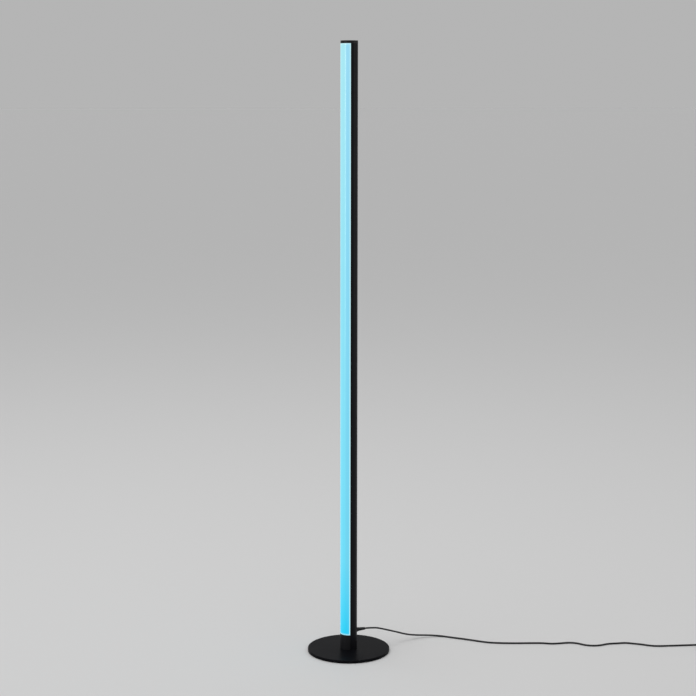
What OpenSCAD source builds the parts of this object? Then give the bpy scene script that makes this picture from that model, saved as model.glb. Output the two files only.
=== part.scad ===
// Corner floor lamp: a slim round column of black profile and opal diffuser on a round steel foot,
// with its low-voltage lead and plug-in adapter. Millimetres, +Z up. The origin is on the floor
// under the column's axis, the diffuser faces -Y and the lead leaves the back of the column, +Y.

/* [Overall] */
// Height from the floor to the top of the cap
lamp_h = 1400; // [1000:10:1600]

/* [Foot] */
// Diameter of the round steel foot
base_d = 190; // [150:1:260]
// Thickness of the steel foot
base_t = 6; // [5:0.5:10]
// Radius round the foot's upper edge
base_edge = 0.8; // [0.4:0.1:2]
// Thickness of the soft pad under the foot
pad_t = 1.2; // [0.8:0.1:3]
// How far the pad stays inside the foot's rim
pad_inset = 1.5; // [0.5:0.5:8]
// Exposed height of the block that closes the column below the diffuser
foot_block_h = 35; // [28:1:60]
// Wall of the foot block
foot_block_wall = 2.2; // [1.6:0.1:3]

/* [Column] */
// Outer diameter of the column, profile and diffuser alike
column_d = 39; // [36:0.5:50]
// Wall of the aluminium profile
profile_wall = 1.6; // [1.2:0.1:2]
// Wall of the opal diffuser
lens_wall = 1.5; // [1.2:0.1:2]
// Arc of the column that the diffuser covers, in degrees
lens_arc = 158; // [150:1:166]
// Distance of the web's front face behind the column's axis
web_y = 4; // [3.6:0.1:5]
// Thickness of the web that carries the light strip
web_t = 1.6; // [1.2:0.1:2.4]
// Bore of the two screw channels
channel_bore = 4; // [3.6:0.1:4.4]
// Wall round each screw channel
channel_wall = 1.3; // [1:0.1:1.6]
// Width of the slit along each screw channel
channel_slit = 1.6; // [1:0.1:2]

/* [Snap joint] */
// Thickness of the profile's rails
rail_t = 1.1; // [0.8:0.1:1.4]
// Thickness of the diffuser's spring legs
leg_t = 1.1; // [0.8:0.1:1.4]
// Height of the hook on each rail, and of the barb on each leg
hook_h = 1.1; // [0.8:0.1:1.4]
// How far each hook and each barb stands out
hook_reach = 0.7; // [0.5:0.1:0.9]
// Running gap between hook, barb, leg and rail
snap_gap = 0.25; // [0.15:0.05:0.35]
// Seam between the diffuser's edge and the profile's edge
seam = 0.2; // [0.1:0.05:0.4]

/* [Cap] */
// Height of the top cap
cap_h = 6.4; // [5:0.2:12]
// Radius round the cap's upper edge
cap_edge = 0.8; // [0.4:0.1:2]
// Depth of the cap's spigots inside the column
spigot_h = 8; // [5:0.5:12]
// Wall of the cap's front spigot
spigot_wall = 1.6; // [1.2:0.1:2.4]

/* [Screws] */
// Outer diameter of the screws
screw_d = 3.8; // [3:0.1:3.8]
// Length of the screws, head and all
screw_l = 16; // [14:1:22]
// Diameter of their countersunk heads
screw_head_d = 7.2; // [6.6:0.1:7.6]
// Height of the countersunk heads
screw_head_h = 2.1; // [1.8:0.1:2.4]
// How far the heads lie below the surface
screw_sink = 0.2; // [0.1:0.1:0.4]
// Distance of the foot block's screw in front of the column's axis
front_screw_y = 9.5; // [8:0.5:11]

/* [Light strip] */
// Width of the light strip
strip_w = 10; // [8:1:12]
// Thickness of the light strip
strip_t = 0.5; // [0.3:0.1:1]
// Distance from one light to the next
chip_pitch = 33.3; // [16:0.1:66]
// Side of a light's square case
chip_w = 5; // [3.5:0.1:5.4]
// Height of a light's case
chip_h = 1.5; // [1:0.1:1.8]
// Height of the strip's lower end above the foot block
strip_start = 20; // [17:1:40]

/* [Controller] */
// Width of the controller board
board_w = 15; // [12:0.5:16]
// Length of the controller board
board_l = 84; // [78:1:110]
// Thickness of the controller board
board_t = 1.6; // [1:0.1:2]
// Thickness of the foam tape behind the board
foam_t = 1; // [0.6:0.1:1.4]
// Height of the board's lower end above the cord's axis
board_rise = 16; // [14:1:30]
// Diameter of the insulated wires inside the column
wire_d = 1.3; // [1:0.1:1.5]

/* [Cord] */
// Diameter of the low-voltage cord
cord_d = 4; // [3.4:0.1:4]
// Height of the cord's exit above the floor
cord_z = 48; // [47:1:60]
// Length of the strain relief outside the column
relief_l = 22; // [16:1:36]
// Diameter of the strain relief at its root
relief_root_d = 9.2; // [8:0.1:11]
// Diameter of the strain relief at its tip
relief_tip_d = 6; // [5:0.1:6]
// Diameter of the strain relief's flange
relief_flange_d = 11.8; // [11.8:0.1:14]
// Thickness of the flange, and of the lip inside the wall
relief_lip_t = 1.6; // [1.2:0.1:2]
// Turns in each layer of the wound cord
coil_turns = 3; // [2:1:4]
// Radius of the wound cord's outermost turn, to the middle of the cord
coil_out = 30.8; // [29:0.1:34]
// Distance between neighbouring turns and between the two layers
coil_pitch = 4.6; // [4.5:0.1:5]
// Width of the strap that ties the wound cord
tie_w = 7; // [4:1:12]
// Thickness of the strap
tie_t = 0.8; // [0.6:0.1:1.2]

/* [Adapter] */
// Length of the adapter's body
adapter_l = 72; // [64:1:90]
// Width of the adapter's body
adapter_w = 40; // [36:1:50]
// Height of the adapter's body as it lies on its back
adapter_h = 27; // [26:1:36]
// Height of the back shell, up to the parting line
adapter_split = 20; // [19.5:0.5:22]
// Radius of the body's upright corners
adapter_corner = 6; // [3:0.5:9]
// Radius round the body's upper and lower edges
adapter_edge = 2; // [1:0.5:2.5]
// Wall of both shells
adapter_wall = 2; // [1.6:0.1:2.4]
// Diameter of the two plug pins
pin_d = 4; // [4:0.1:4.8]
// Length of the pins outside the body
pin_l = 19; // [17:0.5:20]
// Length of the insulating sleeve on each pin
pin_sleeve_l = 10; // [8:0.5:11]
// Diameter of the insulating sleeves
pin_sleeve_d = 3.6; // [3.4:0.1:3.7]
// Distance between the two pins
pin_pitch = 19; // [18.6:0.1:19]
// Length of the adapter's strain relief outside its body
adapter_relief_l = 18; // [14:1:30]
// Diameter of the adapter's strain relief at its root
adapter_relief_d = 8.4; // [7.6:0.1:9]

/* [Hidden] */
$fn = 72;
tiny = 0.01;
fit_gap = 0.1;      // shafts in holes, and shells on the column
slide_gap = 0.3;    // spigots and plugs inside the column

// Heights, from the floor up
base_bottom = pad_t;
base_top = pad_t + base_t;
lens_bottom = base_top + foot_block_h;
cap_bottom = lamp_h - cap_h;
strip_bottom = lens_bottom + strip_start;
strip_top = cap_bottom - spigot_h - 4;
board_bottom = cord_z + board_rise;

// The column's section
column_r = column_d / 2;
profile_in = column_r - profile_wall;
lens_in = column_r - lens_wall;
split_angle = 90 - lens_arc / 2;
split_y = -profile_in * sin(split_angle);
seam_angle = asin(seam / column_r);
web_back = web_y + web_t;

// The snap joint, seen from the split line upwards
rail_tip = split_y + 1.6;
hook_top = rail_tip + hook_h;
barb_low = hook_top + snap_gap;
leg_top = barb_low + hook_h + 0.3;
leg_out = sqrt(pow(profile_in, 2) - pow(max(abs(leg_top), abs(split_y)), 2)) - snap_gap;
leg_in = leg_out - leg_t;
rail_out = leg_in - hook_reach - snap_gap;
rail_in = rail_out - rail_t;
leg_foot = 2.2;

// Screw channels, tucked into the corners between web and skin
channel_r = channel_bore / 2 + channel_wall;
channel_ring = profile_in - channel_r + 0.4;
channel_y = web_back + channel_r - 0.4;
channel_x = sqrt(pow(channel_ring, 2) - pow(channel_y, 2));
bay_half = channel_x - channel_r - slide_gap;

// Fasteners
screw_hole = screw_d + 0.6;
head_hole = screw_head_d + 0.4;
head_rim = 0.3;
front_boss_r = channel_bore / 2 + 2;
cross_l = 4.4;
cross_w = 1;
cross_deep = 1.3;

// Light strip and controller
chip_count = floor((strip_top - strip_bottom - chip_w) / chip_pitch) + 1;
chip_start = strip_bottom + (strip_top - strip_bottom - (chip_count - 1) * chip_pitch) / 2;
board_y = web_back + foam_t;
board_face = board_y + board_t;
wire_r = wire_d / 2;
strip_wire_x = -4.6;
strip_wire_step = 1.7;
strip_wire_z = strip_bottom - 9;
strip_wire_rise = 8;
wire_hole_r = strip_wire_step + wire_r + 0.6;
strip_face = web_y - strip_t;
strip_pad_step = 2.4;
plug_x = 3.4;
plug_w = 6;
plug_h = 5;
plug_l = 9;
plug_rise = 2;
driver_size = [3.6, 1.8, 6];
driver_step = 4.5;
driver_rise = 16;
smoother_d = 6.3;
smoother_h = 6.5;
chip_size = [6, 1, 6];
radio_size = [11, 2.4, 18];

// Cord, strain relief and their hole
cord_r = cord_d / 2;
relief_neck_r = relief_root_d / 2 - 0.3;
relief_hole_r = relief_neck_r + fit_gap;
relief_end = column_r + relief_l;
inlet_start = profile_in - relief_lip_t - 3;

// The lead follows the wall, which turns away from the lamp's own X axis by this angle
wall_turn = 68;
exit_way = [sin(wall_turn), cos(wall_turn)];
exit_x = (relief_end + cord_d) * exit_way[0];
exit_y = (relief_end + cord_d) * exit_way[1];

// Middle of the wound cord and of the adapter, along the wall and towards it
coil_x = 852;
coil_low = tie_t + cord_r + fit_gap;
coil_high = coil_low + coil_pitch;
coil_in = coil_out - coil_turns * coil_pitch;
coil_mid_y = 6;
coil_lead = cord_d;
coil_north = coil_mid_y + coil_out;
tail_l = 34;
adapter_z = 13;

// The lead's route: along the wall, towards it, and height, a point about every 20 to 30 mm
route = [
    [exit_x, exit_y, cord_z], [exit_x + 11, exit_y + 5, cord_z - 1],
    [66, 28, 45], [80, 36, 40], [97, 46, 33], [114, 57, 25.5], [130, 68, 18], [146, 78, 12],
    [164, 87, 8], [184, 94, 5.5], [204, 98, 3.5], [224, 97, 2], [248, 87, 2], [275, 76, 2],
    [303, 63, 2], [332, 51, 2], [363, 47, 2], [396, 46, 2], [428, 47, 2], [456, 47, 2],
    [479, 43, 2], [500, 46, 2], [520, 50, 2], [539, 46, 2], [556, 34, 2], [574, 29, 2],
    [592, 32, 2], [612, 42, 2], [634, 46, 2], [654, 49, 2], [673, 44, 2], [691, 38, 2],
    [709, 30, 2], [729, 27, 2], [756, 29, 2], [784, 32, 2], [814, 35, 2],
    [coil_x - 2 * coil_lead, coil_north, coil_low]
];
route_steps = 2;

// Adapter, along the wall from the tip of its strain relief
adapter_tip = coil_x + tail_l + coil_lead;
adapter_start = adapter_tip + adapter_relief_l;
pin_x = adapter_start + adapter_l - 18;
pin_root = 5;
pin_core_r = 1.4;
lip_h = 1.4;
post_h = 3;
post_r = 2.2;
adapter_board_t = 1.6;
adapter_board_z = adapter_wall + post_h;
adapter_board_w = adapter_w - 2 * adapter_wall - 2;
adapter_board_l = adapter_l - 2 * adapter_wall - 8;
adapter_board_x = adapter_start + adapter_wall + 6;
relief_collar = 1.6;
core_size = [16, 18, 12];
core_plate = 3.5;
winding_d = 13;
big_capacitor = [8, 11];
small_capacitor = [6.3, 9];
bridge_size = [8, 6, 3];
choke_size = [10, 7, 6];

black_paint = [0.05, 0.05, 0.055];
opal = [0.72, 0.93, 0.97];
steel = [0.75, 0.75, 0.77];
board_green = [0.1, 0.35, 0.2];
cord_black = [0.04, 0.04, 0.045];
case_black = [0.06, 0.06, 0.065];

// ---- Shapes used by more than one piece ----

// A pie slice of the plane between two angles
module slice(reach, from, to, steps = 8) {
    polygon(concat([[0, 0]], [for (i = [0:steps]) let (a = from + (to - from) * i / steps)
        2 * reach * [cos(a), sin(a)]]));
}

// A band of a circle between two angles
module band(r_out, r_in, from, to) {
    intersection() {
        difference() {
            circle(r_out);
            circle(r_in);
        }
        slice(r_out, from, to);
    }
}

// A disc whose upper edge is rounded
module round_edged_disc(r, h, edge) {
    rotate_extrude() {
        square([r - edge, h]);
        square([r, h - edge]);
        translate([r - edge, h - edge]) intersection() {
            circle(edge, $fn = 32);
            square(edge);
        }
    }
}

// A rectangle with round corners, its middle at the origin
module rounded_rect(l, w, r) {
    square([l - 2 * r, w], center = true);
    square([l, w - 2 * r], center = true);
    for (x = [-1, 1], y = [-1, 1]) translate([x * (l / 2 - r), y * (w / 2 - r)]) circle(r);
}

// What is drawn for +X and again for -X
module both_sides() {
    children();
    mirror([1, 0]) children();
}

function unit(v) = v / norm(v);

// Smooth curve through points, a few steps from each to the next
function blend_point(a, b, c, d, s) = 0.5 * (2 * b + (c - a) * s
    + (2 * a - 5 * b + 4 * c - d) * s * s + (3 * b - a - 3 * c + d) * s * s * s);
function smooth_path(p, steps) = let (last = len(p) - 1) concat([for (i = [0:last - 1])
    for (k = [0:steps - 1]) blend_point(p[max(i - 1, 0)], p[i], p[i + 1], p[min(i + 2, last)],
    k / steps)], [p[last]]);
function path_length(p) = norm_sum([for (i = [1:len(p) - 1]) norm(p[i] - p[i - 1])]);
function norm_sum(v) = v * [for (i = v) 1];

// A tube swept along a path, as one closed polyhedron; the path is nowhere parallel to over
module tube(path, r, sides, over = [0, 0, 1]) {
    last = len(path) - 1;
    rings = [for (i = [0:last]) let (
            ahead = unit(path[min(i + 1, last)] - path[max(i - 1, 0)]),
            side = unit(cross(ahead, over)), up = cross(side, ahead))
        for (k = [0:sides - 1]) let (a = 360 * (k + 0.5) / sides)
            path[i] + r * (cos(a) * side + sin(a) * up)];
    walls = [for (i = [0:last - 1]) for (k = [0:sides - 1]) let (
            a = i * sides + k, b = i * sides + (k + 1) % sides)
        each [[a, b, b + sides], [a, b + sides, a + sides]]];
    ends = [for (k = [1:sides - 2]) each [[0, k + 1, k],
        [last * sides, last * sides + k, last * sides + k + 1]]];
    polyhedron(points = rings, faces = concat(walls, ends), convexity = 10);
}

// A thin wire, bent smoothly through a few points
module wire(points) {
    tube(smooth_path(points, 3), wire_r, 6, [1, 0, 0]);
}

// A countersunk screw, head up at the origin, with a cross recess
module screw() {
    difference() {
        rotate_extrude($fn = 48) polygon([[0, 0], [screw_head_d / 2, 0], [screw_head_d / 2, -head_rim],
            [screw_d / 2, -screw_head_h], [screw_d / 2, 1.5 - screw_l], [0.6, -screw_l],
            [0, -screw_l]]);
        for (a = [0, 90]) rotate(a) translate([-cross_l / 2, -cross_w / 2, -cross_deep])
            cube([cross_l, cross_w, cross_deep + 1]);
    }
}

// The hole that the screw lies in, through a wall of the given thickness
module screw_seat(wall) {
    translate([0, 0, -wall - 1]) cylinder(h = wall + 2, d = screw_hole, $fn = 48);
    translate([0, 0, -screw_sink - screw_head_h])
        cylinder(h = screw_head_h - head_rim, d1 = screw_hole, d2 = head_hole, $fn = 48);
    translate([0, 0, -screw_sink - head_rim]) cylinder(h = screw_sink + 1, d = head_hole, $fn = 48);
}

module at_channels() {
    for (x = [-1, 1]) translate([x * channel_x, channel_y, 0]) children();
}

// What is laid out along the wall, turned into the lamp's own frame
module along_wall() {
    rotate([0, 0, wall_turn]) children();
}

// ---- The column's section ----

// Legs that snap behind the rails, on the diffuser and on the foot block
module snap_legs(inner_r) {
    both_sides() {
        intersection() {
            circle(column_r - lens_wall / 2);
            translate([leg_in, split_y - leg_foot]) square([column_r, leg_foot - 2 * seam]);
        }
        polygon([[leg_in, split_y - leg_foot], [leg_out, split_y - leg_foot], [leg_out, leg_top],
            [leg_in, leg_top], [leg_in - hook_reach, barb_low + hook_h / 2],
            [leg_in - hook_reach, barb_low], [leg_in, barb_low]]);
    }
    band(column_r, inner_r, 180 + split_angle + seam_angle, 360 - split_angle - seam_angle);
}

// The profile's section: skin, web with two hooked rails, and two screw channels
skin_mid = column_r - profile_wall / 2;
web_half = [
    [sqrt(pow(skin_mid, 2) - pow(web_back, 2)), web_back],
    [sqrt(pow(skin_mid, 2) - pow(web_y, 2)), web_y], [rail_out, web_y], [rail_out, hook_top],
    [rail_out + hook_reach, hook_top], [rail_out + hook_reach, rail_tip + hook_h / 2],
    [rail_out, rail_tip], [rail_in, rail_tip], [rail_in, web_y]
];

module skin_section() {
    band(column_r, profile_in, -split_angle, 180 + split_angle);
}

module web_section() {
    other_half = [for (i = [len(web_half) - 1:-1:0]) [-web_half[i][0], web_half[i][1]]];
    polygon(concat(web_half, other_half));
}

module channel_section() {
    intersection() {
        circle(skin_mid);
        for (x = [-1, 1]) translate([x * channel_x, channel_y]) circle(channel_r);
    }
}

module channel_hollows() {
    for (x = [-1, 1]) translate([x * channel_x, channel_y]) {
        circle(channel_bore / 2);
        translate([-x * channel_r, 0]) square([channel_r, channel_slit], center = true);
    }
}

// The space in front of the web, as far as a plug may fill it
module front_bay(gap) {
    intersection() {
        circle(lens_in - gap);
        translate([gap - rail_in, -column_r]) square([2 * (rail_in - gap), column_r + web_y - gap]);
    }
}

// The space behind the web, between the screw channels
module rear_bay(gap) {
    intersection() {
        circle(profile_in - gap);
        translate([-bay_half, web_back + gap]) square([2 * bay_half, column_r]);
    }
}

// ---- Foot ----

module base_plate() {
    color(black_paint) difference() {
        translate([0, 0, base_bottom]) round_edged_disc(base_d / 2, base_t, base_edge);
        translate([0, 0, base_bottom]) mirror([0, 0, 1]) {
            at_channels() screw_seat(base_t);
            translate([0, -front_screw_y, 0]) screw_seat(base_t);
        }
    }
}

module base_pad() {
    color("dimgray") cylinder(h = pad_t, d = base_d - 2 * pad_inset);
}

module base_screws() {
    color(steel) translate([0, 0, base_bottom + screw_sink]) mirror([0, 0, 1]) {
        at_channels() screw();
        translate([0, -front_screw_y, 0]) screw();
    }
}

// Moulded half-round block: hollow, closed at the top, with a boss for its own screw
module foot_block() {
    inner_r = column_r - foot_block_wall;
    color(black_paint) translate([0, 0, base_top]) {
        difference() {
            union() {
                linear_extrude(foot_block_h) {
                    snap_legs(inner_r);
                    difference() {
                        front_bay(slide_gap);
                        front_bay(slide_gap + foot_block_wall);
                    }
                }
                translate([0, 0, foot_block_h - foot_block_wall]) linear_extrude(foot_block_wall) {
                    snap_legs(inner_r);
                    front_bay(slide_gap);
                }
                translate([0, -front_screw_y, 0]) cylinder(h = foot_block_h - tiny, r = front_boss_r);
            }
            translate([0, -front_screw_y, -1]) cylinder(h = screw_l - base_t + 4, d = channel_bore);
        }
    }
}

// ---- Column ----

module column_profile() {
    column_h = cap_bottom - base_top;
    color(black_paint) difference() {
        translate([0, 0, base_top]) {
            linear_extrude(column_h) skin_section();
            linear_extrude(column_h) web_section();
            linear_extrude(column_h) channel_section();
        }
        translate([0, 0, base_top - 1]) linear_extrude(column_h + 2) channel_hollows();
        translate([0, profile_in - 2, cord_z]) rotate([-90, 0, 0])
            cylinder(h = profile_wall + 4, r = relief_hole_r);
        translate([strip_wire_x, web_y - 1, strip_wire_z]) rotate([-90, 0, 0])
            cylinder(h = web_t + 2, r = wire_hole_r);
    }
}

module diffuser() {
    color(opal) translate([0, 0, lens_bottom]) linear_extrude(cap_bottom - lens_bottom)
        snap_legs(lens_in);
}

module top_cap() {
    color(black_paint) difference() {
        union() {
            translate([0, 0, cap_bottom]) round_edged_disc(column_r, cap_h, cap_edge);
            translate([0, 0, cap_bottom - spigot_h]) linear_extrude(spigot_h + 1) {
                rear_bay(slide_gap);
                difference() {
                    front_bay(slide_gap);
                    front_bay(slide_gap + spigot_wall);
                }
            }
        }
        translate([0, 0, lamp_h]) at_channels() screw_seat(cap_h);
    }
}

module cap_screws() {
    color(steel) translate([0, 0, lamp_h - screw_sink]) at_channels() screw();
}

// ---- Light strip ----

module led_strip() {
    color("white") translate([-strip_w / 2, strip_face, strip_bottom])
        cube([strip_w, strip_t, strip_top - strip_bottom]);
}

module led_chips() {
    color("lightyellow") for (i = [0:chip_count - 1])
        translate([-chip_w / 2, strip_face - chip_h, chip_start + i * chip_pitch - chip_w / 2])
            cube([chip_w, chip_h, chip_w]);
}

// Three wires from the board, through the web, to the strip's lower end
module strip_leads() {
    color("firebrick") for (i = [-1:1]) {
        x = strip_wire_x + i * strip_wire_step;
        end_x = i * strip_pad_step;
        wire([
            [x, board_face + wire_r, board_bottom + 5],
            [x, board_face + wire_r, strip_wire_z + strip_wire_rise / 2],
            [x, web_back + 1, strip_wire_z + 0.4], [x, web_y, strip_wire_z],
            [x, strip_face - wire_r - 0.8, strip_wire_z + 1.6],
            [(x + end_x) / 2, strip_face - wire_r - 0.5, strip_wire_z + strip_wire_rise / 2 + 1],
            [end_x, strip_face - wire_r, strip_bottom], [end_x, strip_face - wire_r, strip_bottom + 2]
        ]);
    }
}

// ---- Controller ----

module control_board() {
    color(board_green) translate([-board_w / 2, board_y, board_bottom])
        cube([board_w, board_t, board_l]);
}

module board_pad() {
    color("gray") translate([1 - board_w / 2, web_back, board_bottom + 2])
        cube([board_w - 2, foam_t, board_l - 4]);
}

// Connector, driver transistors, capacitor and radio module on the board's back face
module board_parts() {
    color("darkslategray") translate([0, board_face, board_bottom]) {
        translate([plug_x - plug_w / 2, 0, plug_rise]) cube([plug_w, plug_h, plug_l]);
        for (i = [-1:1]) translate([i * driver_step - driver_size[0] / 2, 0, driver_rise])
            cube(driver_size);
        translate([0, 0, 30]) rotate([-90, 0, 0]) cylinder(h = smoother_h, d = smoother_d);
        translate([-chip_size[0] / 2, 0, 38]) cube(chip_size);
        translate([-radio_size[0] / 2, 0, board_l - radio_size[2] - 10]) cube(radio_size);
    }
}

// Two wires from the end of the cord's jacket up to the connector
module supply_leads() {
    plug_y = board_face + plug_h / 2;
    plug_bottom = board_bottom + plug_rise - fit_gap;
    color("firebrick") for (s = [-1, 1]) wire([
        [s * 0.9, inlet_start - fit_gap, cord_z], [s * 0.9, inlet_start - 1, cord_z + 0.2],
        [s * 1.1, plug_y + 0.3, cord_z + 3], [plug_x / 2 + s * 1.2, plug_y, cord_z + 7.5],
        [plug_x + s * 1.3, plug_y, plug_bottom - 5], [plug_x + s * 1.3, plug_y, plug_bottom]
    ]);
}

// ---- Cord ----

// Moulded relief: flange outside the wall, neck in its hole, lip inside, tapered tail
module strain_relief() {
    root_r = relief_root_d / 2;
    tip_r = relief_tip_d / 2;
    color(cord_black) difference() {
        union() {
            difference() {
                translate([0, 0, cord_z]) rotate([-90, 0, 0]) rotate_extrude() {
                    translate([0, column_r - 2]) square([relief_flange_d / 2, relief_lip_t + 2]);
                    polygon([[0, column_r], [root_r, column_r], [root_r, column_r + relief_lip_t],
                        [tip_r, relief_end - 0.8], [tip_r - 0.8, relief_end], [0, relief_end]]);
                }
                translate([0, 0, cord_z - 20]) cylinder(h = 40, r = column_r + fit_gap / 2);
            }
            intersection() {
                translate([0, profile_in - relief_lip_t, cord_z]) rotate([-90, 0, 0])
                    cylinder(h = relief_lip_t, r = relief_flange_d / 2 - 1);
                translate([0, 0, cord_z - 20]) cylinder(h = 40, r = profile_in - fit_gap / 2);
            }
            translate([0, profile_in - relief_lip_t, cord_z]) rotate([-90, 0, 0])
                cylinder(h = profile_wall + 2 * relief_lip_t, r = relief_neck_r);
        }
        translate([0, 0, cord_z]) rotate([-90, 0, 0])
            cylinder(h = relief_end + 1, r = cord_r + fit_gap / 2);
    }
}

module cord_inlet() {
    color(cord_black) translate([0, inlet_start, cord_z]) rotate([-90, 0, 0])
        cylinder(h = relief_end - inlet_start, r = cord_r);
}

// The cord runs straight for one diameter where it meets the strain relief and the wound cord
run_path = concat([[relief_end * exit_way[0], relief_end * exit_way[1], cord_z]],
    smooth_path(route, route_steps), [[coil_x - coil_lead, coil_north, coil_low]]);

module cord_run() {
    color(cord_black) along_wall() tube(run_path, cord_r, 8);
}

// Wound cord: spirals in below, climbs in the half turn at the middle and spirals out on top
function ease(s) = let (c = min(max(s, 0), 1)) c * c * (3 - 2 * c);
function coil_point(t) = let (a = 90 - 360 * t, r = coil_in + coil_pitch * abs(t - coil_turns),
    climb = ease((t - coil_turns + 0.25) * 2))
    [coil_x + r * cos(a), coil_mid_y + r * sin(a), coil_low + coil_pitch * climb];
coil_path = concat(
    [[coil_x - coil_lead, coil_north, coil_low]],
    [for (i = [0:2 * coil_turns * 24]) coil_point(i / 24)],
    [for (s = [1:7]) [coil_x + tail_l * s / 7, coil_north,
        coil_high + (adapter_z - coil_high) * ease(s / 7)]],
    [[coil_x + tail_l + coil_lead, coil_north, adapter_z]]
);

module cord_coil() {
    color(cord_black) along_wall() tube(coil_path, cord_r, 6);
}

// Least gap of the wound cord to itself, between stretches more than half a turn apart
coil_gap = min([for (i = [0:len(coil_path) - 14]) for (j = [i + 13:len(coil_path) - 1])
    norm(coil_path[i] - coil_path[j])]) - cord_d;
echo(coil_gap = coil_gap);
echo(run_length = path_length(run_path), coil_length = path_length(coil_path));

// Strap round both layers, at the side of the coil away from the wall
module coil_tie() {
    wide = (coil_turns - 1) * coil_pitch + cord_d + 4 * slide_gap;
    tall = coil_pitch + cord_d + 3 * fit_gap;
    mid_r = (coil_in + coil_out) / 2;
    color("dimgray") along_wall() translate([coil_x - tie_w / 2, coil_mid_y - mid_r, tie_t + tall / 2])
        rotate([90, 0, 90]) linear_extrude(tie_w) difference() {
            rounded_rect(wide + 2 * tie_t, tall + 2 * tie_t, 1.6);
            rounded_rect(wide, tall, 1.6 - tie_t);
        }
}

// ---- Adapter ----

module along_adapter(x, z) {
    along_wall() translate([x, coil_north, z]) rotate([0, 90, 0]) children();
}

module adapter_relief() {
    root_r = adapter_relief_d / 2;
    color(case_black) along_adapter(adapter_tip, adapter_z) rotate_extrude() {
        polygon([[0, 0], [relief_tip_d / 2 - 0.8, 0], [relief_tip_d / 2, 0.8],
            [root_r, adapter_relief_l], [0, adapter_relief_l]]);
        translate([0, adapter_relief_l - 1]) square([root_r - 1, adapter_wall + 1 + relief_collar]);
        translate([0, adapter_relief_l + adapter_wall + fit_gap]) square([root_r, relief_collar]);
    }
}

module adapter_outline(inset) {
    translate([adapter_start + adapter_l / 2, coil_north])
        rounded_rect(adapter_l - 2 * inset, adapter_w - 2 * inset, adapter_corner - inset * 0.6);
}

// The whole body, rounded at its upright corners and round its upper and lower edges
module adapter_body() {
    long = adapter_l - 2 * adapter_corner;
    wide = adapter_w - 2 * adapter_corner;
    translate([adapter_start + adapter_l / 2, coil_north, adapter_h / 2]) {
        rotate([90, 0, 90]) linear_extrude(long, center = true)
            rounded_rect(adapter_w, adapter_h, adapter_edge);
        rotate([90, 0, 0]) linear_extrude(wide, center = true)
            rounded_rect(adapter_l, adapter_h, adapter_edge);
        for (x = [-1, 1], y = [-1, 1]) translate([x * long / 2, y * wide / 2, 0])
            rotate_extrude() intersection() {
                rounded_rect(2 * adapter_corner, adapter_h, adapter_edge);
                translate([0, -adapter_h]) square(2 * adapter_h);
            }
    }
}

// The part of the body between two heights
module adapter_slab(from, to) {
    intersection() {
        adapter_body();
        translate([adapter_start - 1, coil_north - adapter_w, from])
            cube([adapter_l + 2, 2 * adapter_w, to - from]);
    }
}

// Back shell, with four posts that carry the board
module adapter_case() {
    color(case_black) difference() {
        union() {
            along_wall() difference() {
                adapter_slab(-1, adapter_split);
                translate([0, 0, adapter_wall]) linear_extrude(adapter_h) adapter_outline(adapter_wall);
            }
            along_wall() for (x = [3, adapter_board_l - 3], y = [-1, 1])
                translate([adapter_board_x + x, coil_north + y * (adapter_board_w / 2 - 3), 1])
                    cylinder(h = adapter_board_z - 1, r = post_r);
        }
        along_adapter(adapter_start - 1, adapter_z)
            cylinder(h = adapter_wall + 2, r = adapter_relief_d / 2 - 1 + fit_gap);
    }
}

// Front shell, with a lip inside the back shell and a boss round each pin
module adapter_face() {
    color(case_black) difference() {
        union() {
            along_wall() difference() {
                adapter_slab(adapter_split, adapter_h + 1);
                linear_extrude(adapter_h - adapter_wall) adapter_outline(adapter_wall);
            }
            along_wall() translate([0, 0, adapter_split - lip_h]) linear_extrude(lip_h + 1)
                difference() {
                    adapter_outline(adapter_wall + fit_gap);
                    adapter_outline(adapter_wall + fit_gap + 1);
                }
            along_wall() translate([0, 0, adapter_split]) linear_extrude(1) difference() {
                adapter_outline(adapter_wall - 0.5);
                adapter_outline(adapter_wall + fit_gap + 1);
            }
            at_pins() translate([0, 0, adapter_h - pin_root]) cylinder(h = pin_root, r = pin_d / 2 + 1.8);
        }
        at_pins() translate([0, 0, adapter_h - pin_root - 1])
            cylinder(h = pin_root + 2, r = pin_core_r + fit_gap / 2);
    }
}

module at_pins() {
    along_wall() for (y = [-1, 1]) translate([pin_x, coil_north + y * pin_pitch / 2, 0]) children();
}

// A thin core in the shell and the sleeve, a full-width tip with a round end
module adapter_pins() {
    color(steel) at_pins() translate([0, 0, adapter_h]) rotate_extrude($fn = 48) {
        translate([0, -pin_root]) square([pin_core_r, pin_root + pin_sleeve_l + 1]);
        translate([0, pin_sleeve_l]) square([pin_d / 2, pin_l - pin_sleeve_l - pin_d / 2]);
        translate([0, pin_l - pin_d / 2]) intersection() {
            circle(pin_d / 2);
            square(pin_d);
        }
    }
}

module pin_sleeves() {
    color(case_black) at_pins() translate([0, 0, adapter_h]) difference() {
        cylinder(h = pin_sleeve_l, d = pin_sleeve_d, $fn = 48);
        translate([0, 0, -1]) cylinder(h = pin_sleeve_l + 2, r = pin_core_r + fit_gap / 2, $fn = 48);
    }
}

module adapter_board() {
    color(board_green) along_wall()
        translate([adapter_board_x, coil_north - adapter_board_w / 2, adapter_board_z])
            cube([adapter_board_l, adapter_board_w, adapter_board_t]);
}

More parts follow.
